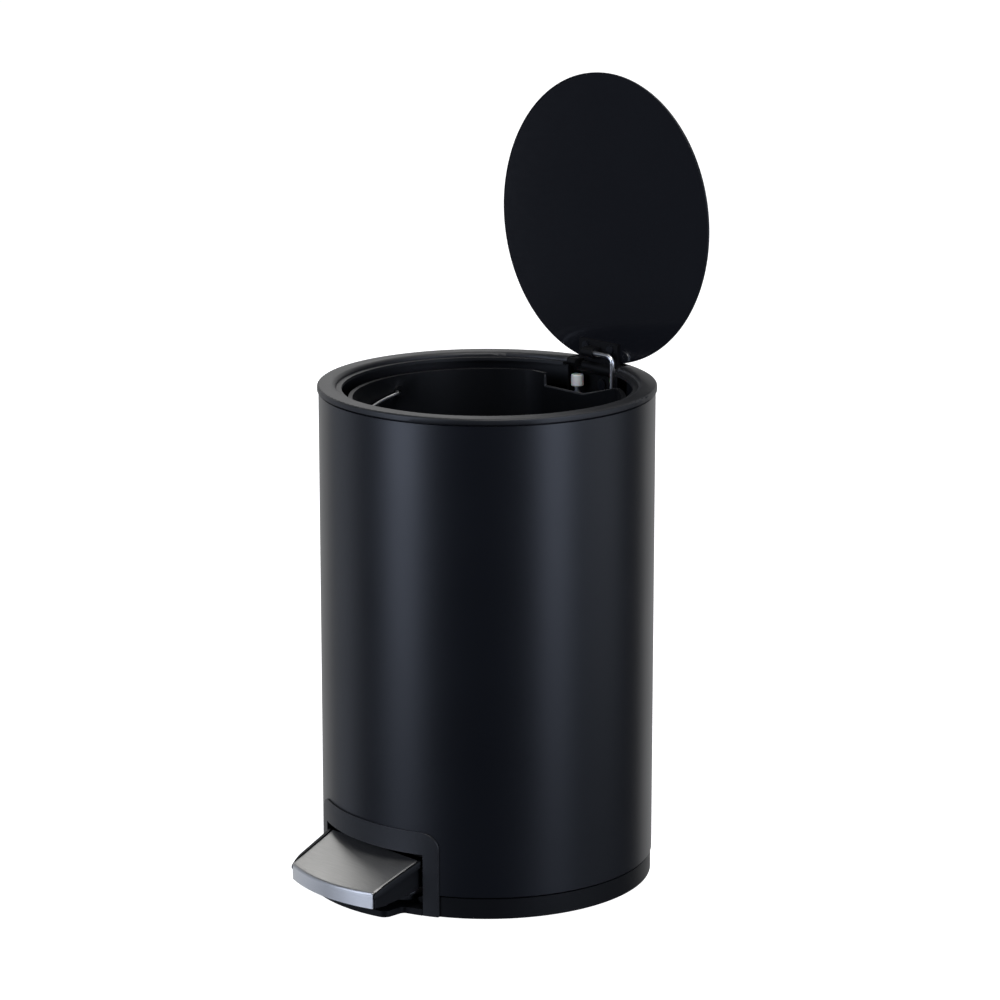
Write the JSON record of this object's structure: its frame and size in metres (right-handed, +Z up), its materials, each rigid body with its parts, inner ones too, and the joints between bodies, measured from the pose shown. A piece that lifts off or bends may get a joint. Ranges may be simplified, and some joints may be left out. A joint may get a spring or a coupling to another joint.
{
  "type": "pedal trash can",
  "caption": "Round steel pedal bin with a flat hinged lid opened by a lift rod, a soft-close damper, a front pedal and a lift-out bucket with a wire bail.",
  "frame": {"origin": "centre of the base on the floor", "axes": "+Z up, the pedal points to -Y, the lid hinge is at +Y, +X is to the right seen from the pedal"},
  "size_m": [0.1714, 0.1973, 0.4049],
  "materials": {
    "coated_steel": "satin black powder coat",
    "black_plastic": "fine matte black moulding",
    "gloss_black": "high gloss black",
    "brushed_steel": "brushed across",
    "bright_steel": "zinc plated",
    "wire": "bright drawn wire",
    "white_nylon": "natural white nylon",
    "rubber": "matte"
  },
  "bodies": {
    "body": {"outer_shell": "coated_steel", "rim_ring": "black_plastic", "base_tray": "black_plastic", "pedal_bezel": "black_plastic", "base_deck": "black_plastic", "base_screws": "bright_steel", "foot_ring": "rubber", "pedal_pivot_pin": "bright_steel", "pivot_clamps": "black_plastic", "clamp_screws": "bright_steel", "pedal_stop_pads": "rubber", "hinge_bracket": "black_plastic", "bracket_rivets": "coated_steel", "hinge_pin": "bright_steel", "damper_cylinder": "black_plastic"},
    "lid": {"lid_plate": "coated_steel", "lid_liner": "gloss_black", "hinge_arm": "black_plastic", "arm_screws": "coated_steel"},
    "pedal": {"pedal_cap": "brushed_steel", "pedal_body": "black_plastic", "pedal_wires": "bright_steel", "pedal_lever": "bright_steel", "lever_screws": "bright_steel"},
    "rod": {"lift_rod": "wire", "rod_clip": "white_nylon"},
    "plunger": {"damper_rod": "bright_steel", "damper_cap": "white_nylon"},
    "bucket": {"inner_bucket": "black_plastic"},
    "bail": {"bail_handle": "wire"}
  },
  "joints": [
    {"name": "lid_hinge", "type": "hinge", "parent": "body", "child": "lid", "pos_m": [0, 0.078, 0.252], "axis": [1, 0, 0], "range_deg": [0, 91]},
    {"name": "rod_hook", "type": "hinge", "parent": "lid", "child": "rod", "pos_m": [0, 0.074, 0.2607], "axis": [1, 0, 0], "range_deg": [-90, 0]},
    {"name": "pedal_pivot", "type": "hinge", "parent": "body", "child": "pedal", "pos_m": [0, -0.058, 0.01255], "axis": [1, 0, 0], "range_deg": [-5.6, 0]},
    {"name": "damper_slide", "type": "slide", "parent": "body", "child": "plunger", "axis": [0, 0, -1], "range_m": [0, 0.003]},
    {"name": "bucket_lift", "type": "slide", "parent": "body", "child": "bucket", "axis": [0, 0, 1], "range_m": [0, 0.262]},
    {"name": "bail_swing", "type": "hinge", "parent": "bucket", "child": "bail", "pos_m": [0, 0, 0.2408], "axis": [-1, 0, 0], "range_deg": [0, 179]}
  ],
  "couplings": [
    {"joint": "rod_hook", "follows": "lid_hinge", "ratio": -0.98793},
    {"joint": "pedal_pivot", "follows": "lid_hinge", "ratio": -0.06153},
    {"joint": "damper_slide", "follows": "lid_hinge", "m_per_rad": 0.001888}
  ]
}
